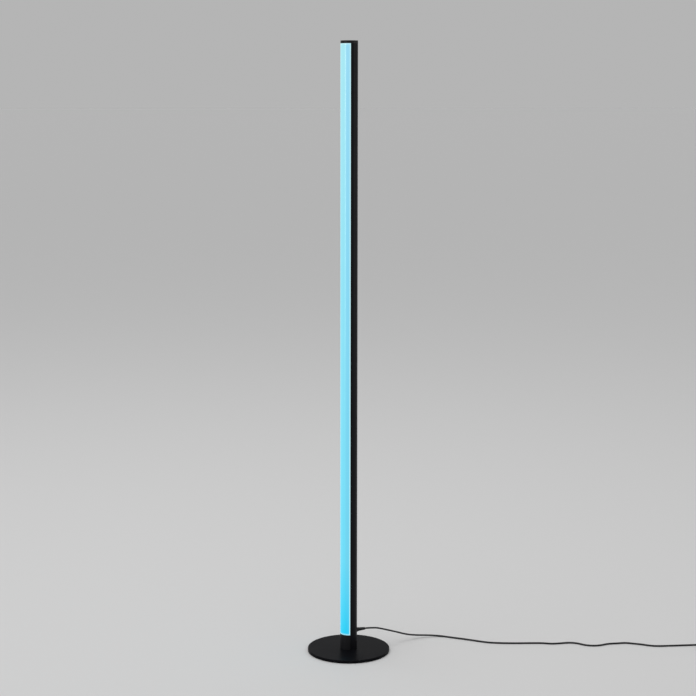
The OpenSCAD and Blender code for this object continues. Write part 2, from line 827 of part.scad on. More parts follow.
// From the cord's end of the board: two capacitors, the transformer, a bridge and a choke
module adapter_parts() {
    core_x = (adapter_board_l - core_size[0]) / 2;
    far_x = adapter_board_l - 8;
    color("darkslategray") along_wall()
        translate([adapter_board_x, coil_north, adapter_board_z + adapter_board_t]) {
            translate([9, -7, 0]) cylinder(h = big_capacitor[1], d = big_capacitor[0]);
            translate([9, 7, 0]) cylinder(h = small_capacitor[1], d = small_capacitor[0]);
            for (z = [0, core_size[2] - core_plate]) translate([core_x, -core_size[1] / 2, z])
                cube([core_size[0], core_size[1], core_plate]);
            translate([core_x + core_size[0] / 2, 0, tiny])
                cylinder(h = core_size[2] - 2 * tiny, d = winding_d);
            translate([far_x - bridge_size[0], -10, 0]) cube(bridge_size);
            translate([far_x - choke_size[0], 3, 0]) cube(choke_size);
        }
}

base_plate();
base_pad();
base_screws();
foot_block();
column_profile();
diffuser();
top_cap();
cap_screws();
led_strip();
led_chips();
strip_leads();
control_board();
board_pad();
board_parts();
supply_leads();
strain_relief();
cord_inlet();
cord_run();
cord_coil();
coil_tie();
adapter_relief();
adapter_case();
adapter_face();
adapter_pins();
pin_sleeves();
adapter_board();
adapter_parts();
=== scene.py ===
import math

import bmesh
import bpy
from mathutils import Matrix, Quaternion, Vector


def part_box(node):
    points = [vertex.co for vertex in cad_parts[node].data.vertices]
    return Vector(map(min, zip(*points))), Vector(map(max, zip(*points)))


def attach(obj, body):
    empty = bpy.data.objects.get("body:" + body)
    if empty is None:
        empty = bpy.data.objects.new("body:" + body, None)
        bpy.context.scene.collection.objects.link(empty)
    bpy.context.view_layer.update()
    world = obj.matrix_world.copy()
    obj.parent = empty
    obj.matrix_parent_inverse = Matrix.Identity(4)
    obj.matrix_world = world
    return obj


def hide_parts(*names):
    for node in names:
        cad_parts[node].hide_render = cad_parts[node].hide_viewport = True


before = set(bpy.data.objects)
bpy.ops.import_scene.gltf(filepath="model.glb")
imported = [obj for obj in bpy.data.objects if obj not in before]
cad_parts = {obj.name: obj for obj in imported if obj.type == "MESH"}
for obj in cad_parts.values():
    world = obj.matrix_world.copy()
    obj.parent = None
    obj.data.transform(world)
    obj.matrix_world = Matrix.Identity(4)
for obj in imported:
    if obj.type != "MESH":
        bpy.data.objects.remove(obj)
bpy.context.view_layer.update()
scene = bpy.context.scene
mm = 0.001
wallTurn = 68      # degrees from +X to the wall, along which the lead and the adapter lie
print("frame loaded:", len(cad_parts), "nodes")


# Camera: the photograph's place and angle
camera = {
    "azimuth": 68,        # degrees from the diffuser's own facing, towards +X
    "distance": 3.734,    # level distance from the column
    "height": 1.2734,
    "tilt": 8.534,        # degrees down
    "turn": 0.033,        # degrees to the left, so that the column stands where it does in the picture
    "lean": 0.06,         # degrees to the left
    "lens": 86.02,
}


def makeCamera(values):
    around = math.radians(values["azimuth"])
    place = Vector((math.sin(around), -math.cos(around), 0)) * values["distance"]
    place.z = values["height"]
    heading = around + math.radians(values["turn"])
    tilt = math.radians(values["tilt"])
    look = Vector((-math.sin(heading) * math.cos(tilt), math.cos(heading) * math.cos(tilt), -math.sin(tilt)))
    data = bpy.data.cameras.new("camera")
    data.lens = values["lens"]
    obj = bpy.data.objects.new("camera", data)
    obj.location = place
    obj.rotation_mode = "QUATERNION"
    lean = Quaternion((0, 0, 1), math.radians(values["lean"]))
    obj.rotation_quaternion = look.to_track_quat("-Z", "Y") @ lean
    scene.collection.objects.link(obj)
    scene.camera = obj


makeCamera(camera)
print("camera placed")


# Shader maths: one socket of a material's nodes. Python's operators on it add Math nodes.
class Wire:
    def __init__(self, tree, socket=None):
        self.tree = tree
        self.socket = socket

    # Adds a node: its settings first, then the values or links of its sockets
    def node(self, kind, settings=None, sockets=None, output=0):
        made = self.tree.nodes.new("ShaderNode" + kind)
        for name, value in (settings or {}).items():
            if name == "stops":
                self.setStops(made.color_ramp, value)
            else:
                setattr(made, name, value)
        for name, value in (sockets or {}).items():
            if isinstance(value, Wire):
                self.tree.links.new(value.socket, made.inputs[name])
            else:
                made.inputs[name].default_value = value
        return Wire(self.tree, made.outputs[output])

    @staticmethod
    def setStops(ramp, stops):
        while len(ramp.elements) < len(stops):
            ramp.elements.new(1)
        for element, (place, colour) in zip(ramp.elements, stops):
            element.position = place
            element.color = colour

    def maths(self, operation, first, second=0.0):
        return self.node("Math", {"operation": operation}, {0: first, 1: second})

    def __add__(self, other):
        return self.maths("ADD", self, other)

    def __sub__(self, other):
        return self.maths("SUBTRACT", self, other)

    def __rsub__(self, other):
        return self.maths("SUBTRACT", other, self)

    def __mul__(self, other):
        return self.maths("MULTIPLY", self, other)

    def __truediv__(self, other):
        return self.maths("DIVIDE", self, other)

    def __pow__(self, other):
        return self.maths("POWER", self, other)

    def __neg__(self):
        return self.maths("MULTIPLY", self, -1.0)

    def __abs__(self):
        return self.maths("ABSOLUTE", self)

    __radd__ = __add__
    __rmul__ = __mul__

    def least(self, other):
        return self.maths("MINIMUM", self, other)

    def most(self, other):
        return self.maths("MAXIMUM", self, other)

    def above(self, edge):
        return self.maths("GREATER_THAN", self, edge)

    def below(self, edge):
        return self.maths("LESS_THAN", self, edge)

    def within(self, low, high):
        return self.above(low) * self.below(high)

    # Distance from the nearest of the places that repeat every step
    def fromNearest(self, step):
        return self.maths("PINGPONG", self, step / 2)

    # A ripple from 0 to 1 that repeats every step
    def ripple(self, step):
        return self.maths("SINE", self * (2 * math.pi / step)) * 0.5 + 0.5

    # 0 below low, 1 above high, smooth between
    def between(self, low, high):
        return self.node("MapRange", {"interpolation_type": "SMOOTHSTEP"},
                         {"Value": self, "From Min": low, "From Max": high})

    def blend(self, colourA, colourB):
        return self.node("Mix", {"data_type": "RGBA"}, {0: self, 6: colourA, 7: colourB}, output=2)

    def ramp(self, stops):
        return self.node("ValToRGB", {"stops": stops}, {"Fac": self})


def linear(red, green, blue):          # a screen colour, 0 to 255, as the shader wants it
    def one(c):
        c = c / 255
        return c / 12.92 if c <= 0.04045 else ((c + 0.055) / 1.055) ** 2.4
    return (one(red), one(green), one(blue), 1.0)


def grey(level):
    return (level, level, level, 1.0)


# A new material: its shader's sockets, its wires, and the object's own coordinates, turned about Z if asked
class Finish:
    def __init__(self, name, sockets=None, turn=0.0):
        self.material = bpy.data.materials.new(name)
        self.material.use_nodes = True
        tree = self.material.node_tree
        self.shader = tree.nodes["Principled BSDF"]
        self.wire = Wire(tree)
        self.place = self.wire.node("TexCoord", output=3)      # its Object output
        if turn:
            self.place = self.wire.node("Mapping", sockets={
                "Vector": self.place, "Rotation": (0, 0, math.radians(-turn))})
        for socket, value in (sockets or {}).items():
            self.shader.inputs[socket].default_value = value

    def feed(self, name, wire):
        self.wire.tree.links.new(wire.socket, self.shader.inputs[name])

    def axes(self):
        split = self.wire.node("SeparateXYZ", sockets={"Vector": self.place}).socket.node
        return [Wire(self.wire.tree, split.outputs[i]) for i in range(3)]

    def stretched(self, *scale):
        return self.wire.node("Mapping", sockets={"Vector": self.place, "Scale": scale})

    def noise(self, perMetre, detail=2.0, rough=0.5, vector=None):
        return self.wire.node("TexNoise", sockets={"Vector": vector or self.place, "Scale": perMetre,
                                                   "Detail": detail, "Roughness": rough})

    # 1 on small specks, 0 between them
    def specks(self, perMetre, size):
        return 1 - self.wire.node("TexVoronoi", sockets={
            "Vector": self.place, "Scale": perMetre}).between(size * 0.5, size)

    def bump(self, height, depth):
        self.feed("Normal", self.wire.node("Bump", sockets={"Height": height, "Distance": depth}))


def dress(finish, *names):
    for name in names:
        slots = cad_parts[name].data.materials
        slots.clear()
        slots.append(finish.material)


# Foot and column: black powder coat
powder = {
    "black": (0.0042, 0.0043, 0.0056, 1),
    "worn": (0.026, 0.027, 0.030, 1),
    "dust": grey(0.11),
    "grain": 1700,                 # the coat's orange peel, per metre
    "grainDepth": 0.016 * mm,
    "clouds": 14,
    "dustSpecks": (420, 0.11),     # per metre, and their size
    "dustPatches": 30,
    "footRoughness": 0.36,
    "columnRoughness": 0.40,
    "footGloss": 0.025,
    "columnGloss": 0.11,
    "rimWear": 0.55,
    "rimBand": (1.6 * mm, 0.2 * mm),   # where the wear starts and is full, from the foot's rim inwards
    "rimDepth": 2 * mm,                # height above the foot's lower face from which it shows
    "endWear": 0.40,
    "endBand": 1.2 * mm,               # of the column, at either end
    "drawLines": 900,              # fine lines along the extruded column, per metre round it
}


def powderCoat(name, roughness, gloss):
    finish = Finish(name, {"Specular IOR Level": gloss})
    peel = finish.noise(powder["grain"], detail=3, rough=0.55)
    clouds = finish.noise(powder["clouds"], detail=4)
    dust = finish.specks(*powder["dustSpecks"])
    dust = dust * finish.noise(powder["dustPatches"], detail=2).between(0.52, 0.66)
    return finish, peel, roughness + (clouds - 0.5) * 0.12 + dust * 0.25, dust


def footCoat():
    finish, peel, rough, dust = powderCoat("footCoat", powder["footRoughness"], powder["footGloss"])
    low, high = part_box("base_plate")
    x, y, z = finish.axes()
    radius = (x * x + y * y) ** 0.5
    start, full = powder["rimBand"]
    rim = radius.between(high.x - start, high.x - full) * z.between(low.z + powder["rimDepth"], high.z)
    worn = rim * finish.noise(140, detail=5, rough=0.65).between(0.50, 0.66) * powder["rimWear"]
    coat = worn.blend(powder["black"], powder["worn"])
    finish.feed("Base Color", (dust * 0.5).blend(coat, powder["dust"]))
    finish.feed("Roughness", rough - worn * 0.12)
    finish.bump(peel, powder["grainDepth"])
    dress(finish, "base_plate")


def columnCoat():
    finish, peel, rough, dust = powderCoat("columnCoat", powder["columnRoughness"], powder["columnGloss"])
    low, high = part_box("column_profile")
    lines = finish.noise(powder["drawLines"], detail=2, vector=finish.stretched(1, 1, 0.003))
    z, band = finish.axes()[2], powder["endBand"]
    ends = (z.between(high.z - band, high.z) + 1 - z.between(low.z, low.z + band)).least(1.0)
    worn = ends * finish.noise(260, detail=4).between(0.50, 0.62) * powder["endWear"]
    coat = worn.blend(powder["black"], powder["worn"])
    finish.feed("Base Color", (dust * 0.35).blend(coat, powder["dust"]))
    finish.feed("Roughness", rough + (lines - 0.5) * 0.06)
    finish.bump(peel * 0.7 + lines * 0.5, powder["grainDepth"])
    dress(finish, "column_profile")


footCoat()
columnCoat()


# Diffuser: opal extrusion, lit from behind
glow = {
    "strength": 0.86,
    "body": 0.12,                  # how much of its own colour it returns from the room's light
    "paleFrom": 0.13,              # share of its height by which the deep colour at its foot is gone
    "front": [(8, 214, 254), (104, 223, 252), (170, 235, 246)],    # at its foot, there, and at its top
    "side": [(24, 208, 250), (106, 215, 244), (154, 222, 248)],    # and the same towards its edges
    "turnsAt": (38, 52),           # degrees round from the front, where one passes into the other
    "paintedRimAt": (69, 75),            # and where a painted highlight, a bright rim along either side edge, begins and is full
    "paintedEndDepth": 5 * mm,            # how far the painted rim highlight reaches in from the lower and upper end
    # colour of the painted rim highlight, nearly white
    "edge": (208, 250, 255),
    "paintedRimShare": 0.80,
    "paintedEndShare": 0.80,              # of that painted highlight, at the two ends
    "streakShare": 0.02,
    "roughness": 0.19,
    "gloss": 0.40,
}


def opalGlow(values):
    finish = Finish("opalGlow", {"Emission Strength": values["strength"],
                                 "Specular IOR Level": values["gloss"]})
    low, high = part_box("diffuser")
    x, y, z = finish.axes()
    share = (z - low.z) / (high.z - low.z)
    fromFront = abs(x.maths("ARCTAN2", x, -y)) * math.degrees(1)
    heights = (0.0, values["paleFrom"], 1.0)
    front, side = (share.ramp([(height, linear(*colour)) for height, colour in zip(heights, values[face])])
                   for face in ("front", "side"))
    lit = fromFront.between(*values["turnsAt"]).blend(front, side)
    # Painted highlight: a whitish rim painted into the glow along both side edges and both ends
    paintedEndRim = 1 - (z - low.z).least(high.z - z).between(0.0, values["paintedEndDepth"])
    edge = fromFront.between(*values["paintedRimAt"]).most(paintedEndRim * values["paintedEndShare"]) * values["paintedRimShare"]
    lit = edge.blend(lit, linear(*values["edge"]))
    # A faint unevenness from light to light, drawn out along the extrusion
    streak = finish.noise(300, detail=2, vector=finish.stretched(1, 1, 0.01))
    streaks = streak.between(0.3, 0.8) * values["streakShare"]
    finish.feed("Emission Color", streaks.blend(lit, grey(1)))
    finish.feed("Base Color", finish.wire.node("Mix", {"data_type": "RGBA"}, {
        0: values["body"], 6: grey(0.0), 7: lit}, output=2))
    finish.feed("Roughness", values["roughness"] + streak * 0.08)
    finish.bump(streak + finish.noise(1400, detail=2) * 0.5, 0.01 * mm)
    dress(finish, "diffuser")


opalGlow(glow)


# Cap, foot block and the soft pad under the foot
moulded = {
    "grain": 2400,                 # spark-eroded mould texture, per metre
    "grainDepth": 0.022 * mm,
    "joint": grey(0.0005),         # the hairline where two shells meet
    "jointHalf": (0.12 * mm, 0.3 * mm),    # half its width, at full depth and in all
    "jointDepth": 4,               # in depths of the grain
}
blockLook = {"colour": (0.0075, 0.0075, 0.0088, 1), "roughness": 0.46, "grain": 1.0, "gloss": 0.20}
padFoam = {
    "dark": grey(0.012),
    "light": grey(0.035),
    "pores": 900,                  # per metre
    "poreDepth": 0.15 * mm,
}


def mouldedPlastic(name, look, *nodes, jointAt=None):
    finish = Finish(name, {"Specular IOR Level": look["gloss"]})
    texture = finish.noise(moulded["grain"], detail=3, rough=0.6)
    clouds = finish.noise(40, detail=3)
    lighter = tuple(c * 1.5 for c in look["colour"][:3]) + (1,)
    mixed = (clouds.between(0.35, 0.75) * 0.5).blend(look["colour"], lighter)
    height = texture
    if jointAt is not None:
        beside = abs(finish.axes()[2] - jointAt).between(*moulded["jointHalf"])
        mixed = beside.blend(moulded["joint"], mixed)
        height = texture + beside * moulded["jointDepth"]
    finish.feed("Base Color", mixed)
    finish.feed("Roughness", look["roughness"] + (texture - 0.5) * 0.10 + (clouds - 0.5) * 0.08)
    finish.bump(height, moulded["grainDepth"] * look["grain"])
    dress(finish, *nodes)


def soleFoam(values):
    finish = Finish("soleFoam", {"Specular IOR Level": 0.3})
    pores = finish.wire.node("TexVoronoi", sockets={"Vector": finish.place, "Scale": values["pores"]})
    finish.feed("Base Color", finish.noise(500, detail=4).between(0.4, 0.7).blend(
        values["dark"], values["light"]))
    finish.feed("Roughness", 0.82 + pores * 0.15)
    finish.bump(pores.between(0.0, 0.6), values["poreDepth"])
    dress(finish, "base_pad")


mouldedPlastic("blockPlastic", blockLook, "foot_block", "top_cap")
soleFoam(padFoam)
print("foot, column and diffuser finished")


# Screws and plug pins
metals = {
    "zinc": (0.58, 0.59, 0.60, 1),
    "zincDull": (0.36, 0.37, 0.39, 1),
    "zincRoughness": 0.26,
    "nickel": (0.66, 0.65, 0.62, 1),
    "nickelDull": (0.45, 0.44, 0.41, 1),
    "nickelRoughness": 0.18,
}


def screwZinc():
    finish = Finish("screwZinc", {"Metallic": 1.0})
    tarnish = finish.noise(700, detail=5, rough=0.65).between(0.40, 0.66)
    turned = finish.noise(2600, detail=1, vector=finish.stretched(1, 1, 0.15))
    finish.feed("Base Color", tarnish.blend(metals["zinc"], metals["zincDull"]))
    finish.feed("Roughness", metals["zincRoughness"] + tarnish * 0.18)
    finish.bump(turned, 0.01 * mm)
    dress(finish, "base_screws", "cap_screws")


def pinNickel():
    finish = Finish("pinNickel", {"Metallic": 1.0})
    scratches = finish.noise(2200, detail=3, vector=finish.stretched(1, 1, 0.03)).between(0.5, 0.7)
    finish.feed("Base Color", (scratches * 0.6).blend(metals["nickel"], metals["nickelDull"]))
    finish.feed("Roughness", metals["nickelRoughness"] + scratches * 0.20)
    finish.bump(scratches, 0.006 * mm)
    dress(finish, "adapter_pins")


screwZinc()
pinNickel()


# Light strip, behind the diffuser
strip = {
    "chips": 40,
    "white": grey(0.74),
    "copper": (0.62, 0.34, 0.16, 1),
    "case": grey(0.80),
    "phosphor": (0.78, 0.62, 0.16, 1),
    "phosphorSize": 1.9 * mm,
    "light": linear(120, 228, 252),
    "lightStrength": 1.5,
    "padStep": 2.4 * mm,           # between the three solder pads at each cut line
    "padHalf": (0.75 * mm, 1.5 * mm),
    "cutHalf": 0.15 * mm,
}


def stripMask(values):
    finish = Finish("stripMask", {"Specular IOR Level": 0.4})
    chips, step = chipPlaces()
    x, y, z = finish.axes()
    fromCut = step / 2 - (z - chips).fromNearest(step)
    padWide, padLong = values["padHalf"]
    onPad = x.fromNearest(values["padStep"]).below(padWide) * abs(x).below(1.5 * values["padStep"])
    onPad = onPad * fromCut.within(values["cutHalf"], padLong)
    finish.feed("Base Color", onPad.blend(values["white"], values["copper"]))
    finish.feed("Metallic", onPad * 0.9)
    finish.feed("Roughness", 0.42 - onPad * 0.12 + finish.noise(600) * 0.08)
    finish.bump(finish.noise(900, detail=3), 0.02 * mm)
    dress(finish, "led_strip")


def chipPhosphor(values):
    finish = Finish("chipPhosphor", {"Emission Strength": values["lightStrength"]})
    finish.material.cycles.emission_sampling = "NONE"       # shut in behind the diffuser
    chips, step = chipPlaces()
    x, y, z = finish.axes()
    away = (x * x + (z - chips).fromNearest(step) ** 2.0) ** 0.5
    lens = 1 - away.between(values["phosphorSize"] * 0.94, values["phosphorSize"])
    grain = finish.noise(2500, detail=2)
    finish.feed("Base Color", lens.blend(values["case"], values["phosphor"]))
    finish.feed("Emission Color", lens.blend(grey(0), values["light"]))
    finish.feed("Roughness", 0.35 + grain * 0.2)
    dress(finish, "led_chips")


def chipPlaces():                      # height of the lowest light, and the distance between lights
    low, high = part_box("led_chips")
    side = high.x - low.x
    return low.z + side / 2, (high.z - low.z - side) / (strip["chips"] - 1)


stripMask(strip)
chipPhosphor(strip)


# Circuit boards and what is on them
boards = {
    "mask": (0.012, 0.075, 0.032, 1),
    "track": (0.030, 0.150, 0.062, 1),
    "black": grey(0.018),
    "nylon": (0.62, 0.59, 0.50, 1),
    "can": (0.55, 0.55, 0.54, 1),
    "tape": (0.72, 0.52, 0.06, 1),
    "sleeve": (0.014, 0.030, 0.085, 1),
    "foam": grey(0.11),
    "trackWidth": 0.28 * mm,
    "trackLength": 6.3 * mm,
    "trackPitch": 1.27 * mm,
    "connectorTop": 10 * mm,       # above the lowest piece on the controller's board
    "radioBottom": 19 * mm,        # below the highest one
}
adapterInside = {                      # along the wall, from the board's end, and height
    "boardStart": 916 * mm,
    "capacitorsEnd": 15 * mm,
    "winding": (21 * mm, 39 * mm),
    "windingHeight": (10.1 * mm, 15.1 * mm),
    "wrap": 1.2 * mm,
}


def boardMask(name, node, turn, upright):
    finish = Finish(name, {"Coat Weight": 0.4, "Specular IOR Level": 0.5}, turn)
    x, y, z = finish.axes()
    along, across = (z, x) if upright else (x, y)
    flat = finish.wire.node("CombineXYZ", sockets={"X": along, "Y": across, "Z": 0.0})
    tracks = finish.wire.node("TexBrick", {"offset": 0.37}, {
        "Vector": flat, "Scale": 1.0, "Mortar Size": boards["trackWidth"], "Mortar Smooth": 0.3,
        "Brick Width": boards["trackLength"], "Row Height": boards["trackPitch"]}, output=1)
    finish.feed("Base Color", tracks.blend(boards["mask"], boards["track"]))
    finish.feed("Roughness", 0.30 + finish.noise(400, detail=3) * 0.12)
    finish.bump(tracks, 0.03 * mm)
    dress(finish, node)


def boardPieces():                     # nylon connector below, metal can of the radio above, black between
    finish = Finish("boardPieces")
    low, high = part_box("board_parts")
    z = finish.axes()[2]
    nylon = z.below(low.z + boards["connectorTop"])
    can = z.above(high.z - boards["radioBottom"])
    grain = finish.noise(1600, detail=3)
    colour = nylon.blend(can.blend(boards["black"], boards["can"]), boards["nylon"])
    finish.feed("Base Color", (grain * 0.12).blend(colour, grey(0)))
    finish.feed("Metallic", can)
    finish.feed("Roughness", 0.52 - can * 0.18 + (grain - 0.5) * 0.1)
    finish.bump(grain, 0.02 * mm)
    dress(finish, "board_parts")


def adapterPieces(values):             # taped winding between black cores, sleeved capacitors beside it
    finish = Finish("adapterPieces", turn=wallTurn)
    x, y, z = finish.axes()
    fromEnd = x - values["boardStart"]
    winding = fromEnd.within(*values["winding"]) * z.within(*values["windingHeight"])
    sleeved = fromEnd.below(values["capacitorsEnd"])
    wraps = z.ripple(values["wrap"])
    colour = winding.blend(sleeved.blend(boards["black"], boards["sleeve"]), boards["tape"])
    finish.feed("Base Color", (winding * wraps * 0.25).blend(colour, grey(0)))
    finish.feed("Roughness", 0.50 - winding * 0.15 - sleeved * 0.12)
    finish.bump(wraps * winding + finish.noise(1500, detail=3) * 0.4, 0.05 * mm)
    dress(finish, "adapter_parts")


def tapeFoam():
    finish = Finish("tapeFoam", {"Specular IOR Level": 0.2})
    cells = finish.wire.node("TexVoronoi", sockets={"Vector": finish.place, "Scale": 1800})
    finish.feed("Base Color", cells.between(0.1, 0.6).blend(grey(0.05), boards["foam"]))
    finish.feed("Roughness", 0.8 + cells * 0.2)
    finish.bump(cells, 0.08 * mm)
    dress(finish, "board_pad")


boardMask("controlMask", "control_board", 0, upright=True)
boardMask("adapterMask", "adapter_board", wallTurn, upright=False)
boardPieces()
adapterPieces(adapterInside)
tapeFoam()
print("electronics finished")


# Wires inside the column
wiring = {
    "diameter": 1.3 * mm,
    "steps": 8,                    # from one point of a route to the next
    "stripColours": [(0.42, 0.010, 0.010, 1), (0.02, 0.20, 0.035, 1), grey(0.60)],
    "supplyColours": [(0.42, 0.010, 0.010, 1), grey(0.012)],
    # In mm: the hole in the web, from one wire to the next in it, and from one solder pad to the next
    "holeX": -4.6,
    "holeStep": 1.7,
    "padStep": 2.4,
    # Share of the way across from hole to solder pad, then in mm distance behind the axis, and height
    "stripRoute": [(0, 8.85, 69), (0, 8.85, 57.2), (0, 6.6, 53.6), (0, 4.0, 53.2), (0, 2.05, 54.8),
                   (0.5, 2.35, 58.2), (1, 2.85, 62.2), (1, 2.85, 64.2)],
    # In mm: the pair's middle, half its width, distance behind the axis, and height
    "supplyRoute": [(0, 0.9, 13.2, 48), (0, 0.9, 12.3, 48.2), (0, 1.1, 11.0, 51),
                    (1.7, 1.2, 10.7, 55.5), (3.4, 1.3, 10.7, 60.9), (3.4, 1.3, 10.7, 65.9)],
}


def wireSkin(name, colour):
    finish = Finish(name, {"Specular IOR Level": 0.5})
    grain = finish.noise(900, detail=2)
    finish.feed("Base Color", (grain * 0.3).blend(colour, grey(0.02)))
    finish.feed("Roughness", 0.32 + grain * 0.15)
    finish.bump(grain, 0.01 * mm)
    return finish


def ease(share):
    share = min(max(share, 0.0), 1.0)
    return share * share * (3 - 2 * share)


def smoothPath(points, steps):         # a curve through the points, as the cord bends
    made, last = [], len(points) - 1
    for i in range(last):
        a, b, c, d = (points[min(max(i + k, 0), last)] for k in (-1, 0, 1, 2))
        for step in range(steps):
            s = step / steps
            made.append(0.5 * (2 * b + (c - a) * s + (2 * a - 5 * b + 4 * c - d) * s ** 2
                               + (3 * b - a - 3 * c + d) * s ** 3))
    return made + [points[last]]


def roundCurve(name, paths, diameter, finishes, roundness=5):
    data = bpy.data.curves.new(name, "CURVE")
    data.dimensions = "3D"
    data.bevel_depth = diameter / 2
    data.bevel_resolution = roundness
    data.use_fill_caps = True
    for finish in finishes:
        data.materials.append(finish.material)
    for i, path in enumerate(paths):
        spline = data.splines.new("POLY")
        spline.material_index = min(i, len(finishes) - 1)
        spline.points.add(len(path) - 1)
        for point, place in zip(spline.points, path):
            point.co = (*place, 1.0)
    obj = bpy.data.objects.new(name, data)
    scene.collection.objects.link(obj)
    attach(obj, "root")
    return obj


def stripPath(i):                      # from the board's back, through the web, to the strip's lower end
    start, end = wiring["holeX"] + wiring["holeStep"] * i, wiring["padStep"] * i
    return smoothPath([Vector((start + (end - start) * share, y, z)) * mm
                       for share, y, z in wiring["stripRoute"]], wiring["steps"])


def supplyPath(side):                  # from the end of the lead's jacket up to the connector
    return smoothPath([Vector((middle + side * half, y, z)) * mm
                       for middle, half, y, z in wiring["supplyRoute"]], wiring["steps"])


stripWires = roundCurve("stripWires", [stripPath(i) for i in (-1, 0, 1)], wiring["diameter"],
                        [wireSkin("stripWire%d" % i, c) for i, c in enumerate(wiring["stripColours"])])
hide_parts("strip_leads")
supplyWires = roundCurve("supplyWires", [supplyPath(side) for side in (-1, 1)], wiring["diameter"],
                         [wireSkin("supplyWire%d" % i, c) for i, c in enumerate(wiring["supplyColours"])])
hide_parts("supply_leads")
print("wires laid")


# Lead: strain relief, along the wall foot, wound and tied outside the view
lead = {
    "diameter": 4.0 * mm,
    "length": 1.80,
    "exitHeight": 48 * mm,
    "reliefTip": 41.5 * mm,        # from the column's axis
    "coilMiddle": (852 * mm, 6 * mm),  # along the wall, and towards it
    "coilOut": 30.8 * mm,
    "coilPitch": 4.6 * mm,
    "coilTurns": 3,
    "coilLow": 2.9 * mm,
    "coilClimb": 0.5,              # turns over which it passes from the lower layer to the upper
    "tail": 34 * mm,               # from the coil to the adapter
    "tailSteps": 7,
    "adapterHeight": 13 * mm,
    "stepsPerPoint": 5,
    "stepsPerTurn": 60,
    "black": (0.0055, 0.0055, 0.0068, 1),
    "scuffed": (0.016, 0.016, 0.018, 1),
    "roughness": 0.40,
}
alongWall = Matrix.Rotation(math.radians(wallTurn), 4, "Z")
exitWay = Vector((math.sin(math.radians(wallTurn)), math.cos(math.radians(wallTurn)), 0))
leaves = exitWay * (lead["reliefTip"] + lead["diameter"])
wallSide = lead["coilMiddle"][1] + lead["coilOut"]     # of the coil, where the lead comes and goes

# Along the wall, towards it, and height, in metres: a point about every 20 to 30 mm
leadRoute = [
    (leaves.x, leaves.y, lead["exitHeight"]), (leaves.x + 0.011, leaves.y + 0.005, 0.047),
    (0.066, 0.028, 0.045),
    (0.080, 0.036, 0.040), (0.097, 0.046, 0.033), (0.114, 0.057, 0.0255), (0.130, 0.068, 0.018),
    (0.146, 0.078, 0.012), (0.164, 0.087, 0.008), (0.184, 0.094, 0.0055), (0.204, 0.098, 0.0035),
    (0.224, 0.097, 0.002), (0.248, 0.087, 0.002), (0.275, 0.076, 0.002), (0.303, 0.063, 0.002),
    (0.332, 0.051, 0.002), (0.363, 0.047, 0.002), (0.396, 0.046, 0.002), (0.428, 0.047, 0.002),
    (0.456, 0.047, 0.002), (0.479, 0.043, 0.002), (0.500, 0.046, 0.002), (0.520, 0.050, 0.002),
    (0.539, 0.046, 0.002), (0.556, 0.034, 0.002), (0.574, 0.029, 0.002), (0.592, 0.032, 0.002),
    (0.612, 0.042, 0.002), (0.634, 0.046, 0.002), (0.654, 0.049, 0.002), (0.673, 0.044, 0.002),
    (0.691, 0.038, 0.002), (0.709, 0.030, 0.002), (0.729, 0.027, 0.002), (0.756, 0.029, 0.002),
    (0.784, 0.032, 0.002), (0.814, 0.035, 0.002),
    (lead["coilMiddle"][0] - 2 * lead["diameter"], wallSide, lead["coilLow"]),
]


def coilPath(values):                  # spirals in below, climbs at the middle, spirals out on top
    middleX, middleY = values["coilMiddle"]
    pitch, turns, low = values["coilPitch"], values["coilTurns"], values["coilLow"]
    inner, high = values["coilOut"] - turns * pitch, low + pitch
    count = 2 * turns * values["stepsPerTurn"]
    for i in range(count + 1):
        t = i / values["stepsPerTurn"]
        angle = math.radians(90 - 360 * t)
        radius = inner + pitch * abs(t - turns)
        climb = ease((t - turns) / values["coilClimb"] + 0.5)
        yield Vector((middleX + radius * math.cos(angle), middleY + radius * math.sin(angle),
                      low + pitch * climb))
    for i in range(1, values["tailSteps"] + 1):
        share = i / values["tailSteps"]
        yield Vector((middleX + values["tail"] * share, wallSide,
                      high + (values["adapterHeight"] - high) * ease(share)))
    yield Vector((middleX + values["tail"] + values["diameter"], wallSide, values["adapterHeight"]))


def leadJacket(values):
    finish = Finish("leadJacket", {"Specular IOR Level": 0.3})
    clouds = finish.noise(60, detail=4)
    fine = finish.noise(1200, detail=3)
    finish.feed("Base Color", (clouds.between(0.45, 0.75) * 0.5).blend(values["black"], values["scuffed"]))
    finish.feed("Roughness", values["roughness"] + (clouds - 0.5) * 0.16 + (fine - 0.5) * 0.06)
    finish.bump(fine, 0.012 * mm)
    return finish


leadStart = exitWay * lead["reliefTip"] + Vector((0, 0, lead["exitHeight"]))
leadPoints = [leadStart] + smoothPath([Vector(p) for p in leadRoute], lead["stepsPerPoint"])
leadPoints += [Vector((lead["coilMiddle"][0] - lead["diameter"], wallSide, lead["coilLow"]))]
leadPoints = [alongWall @ p for p in leadPoints + list(coilPath(lead))]

jacket = leadJacket(lead)
leadPiece = roundCurve("lead", [leadPoints], lead["diameter"], [jacket])
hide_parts("cord_run", "cord_coil")
dress(jacket, "strain_relief")
print("lead laid:", len(leadPoints), "points")


# Lead's end inside the column: its jacket, cut square, and the two conductors in it
jacketCut = {
    "sides": 32,
    "rim": 0.25 * mm,
    "wall": 0.45 * mm,
    "coreSunk": 0.4 * mm,
}
weldWithin = 0.001 * mm
sharpAngle = math.radians(35)


def newPiece(name, bm, *finishes):     # welds, turns the faces outwards and makes the object
    bmesh.ops.remove_doubles(bm, verts=bm.verts, dist=weldWithin)
    bmesh.ops.recalc_face_normals(bm, faces=bm.faces)
    mesh = bpy.data.meshes.new(name)
    bm.to_mesh(mesh)
    bm.free()
    for face in mesh.polygons:
        face.use_smooth = True
    mesh.set_sharp_from_angle(angle=sharpAngle)
    for finish in finishes:
        mesh.materials.append(finish.material)
    obj = bpy.data.objects.new(name, mesh)
    scene.collection.objects.link(obj)
    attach(obj, "root")
    return obj


